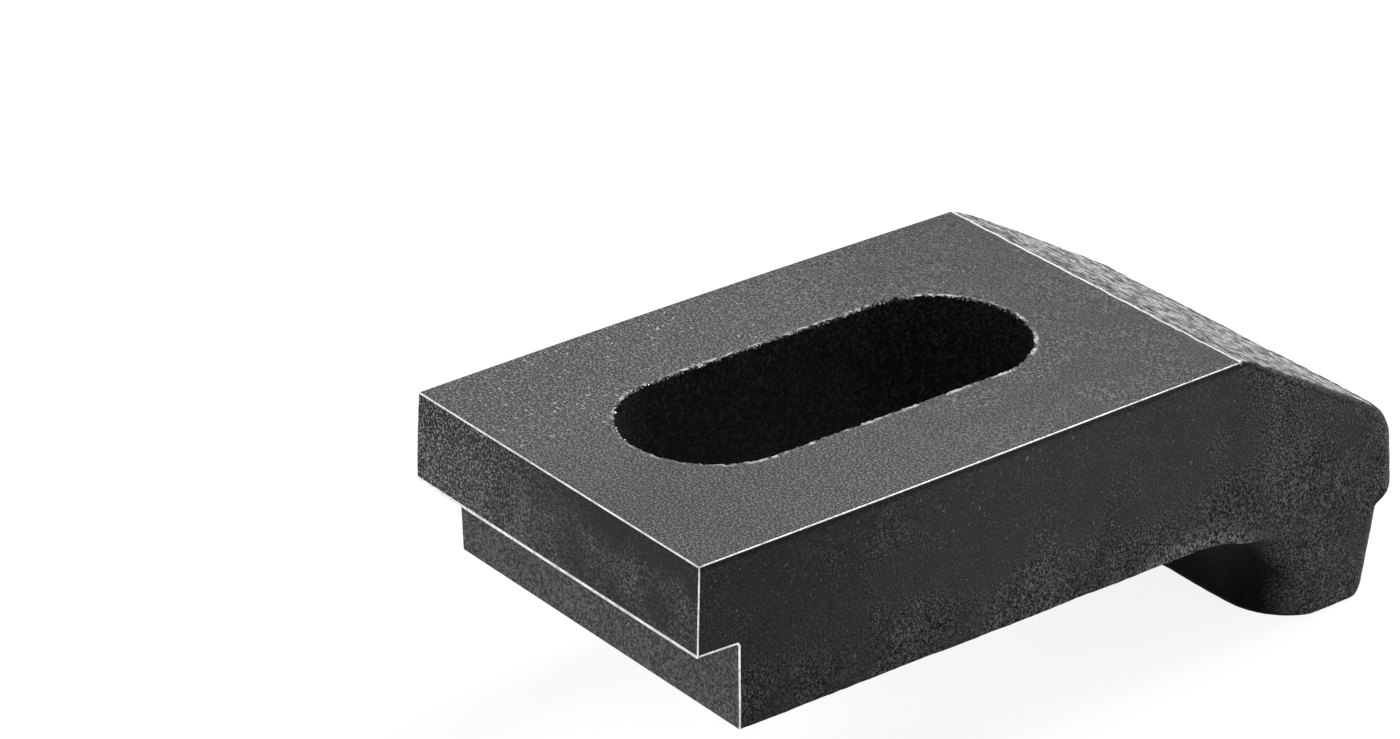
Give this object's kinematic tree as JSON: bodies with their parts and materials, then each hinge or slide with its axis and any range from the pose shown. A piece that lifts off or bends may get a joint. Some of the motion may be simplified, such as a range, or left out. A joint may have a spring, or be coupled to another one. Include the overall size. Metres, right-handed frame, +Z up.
{
  "type": "strap clamp",
  "caption": "Forged steel strap clamp with a hooked heel, a long bolt slot and a sloping nose on a deep foot, for holding a flange down.",
  "frame": {"origin": "middle of the bolt slot on the flat top face", "axes": "+Z up out of the top face along the bolt; +Y along the clamp towards the sloping nose; +X across it, to the right when facing the nose"},
  "size_m": [0.0408, 0.083, 0.0295],
  "materials": {
    "forged_steel": "blackened forging with milled top, heel and slot"
  },
  "bodies": {
    "root": {"clamp_strap": "forged_steel"}
  },
  "joints": []
}
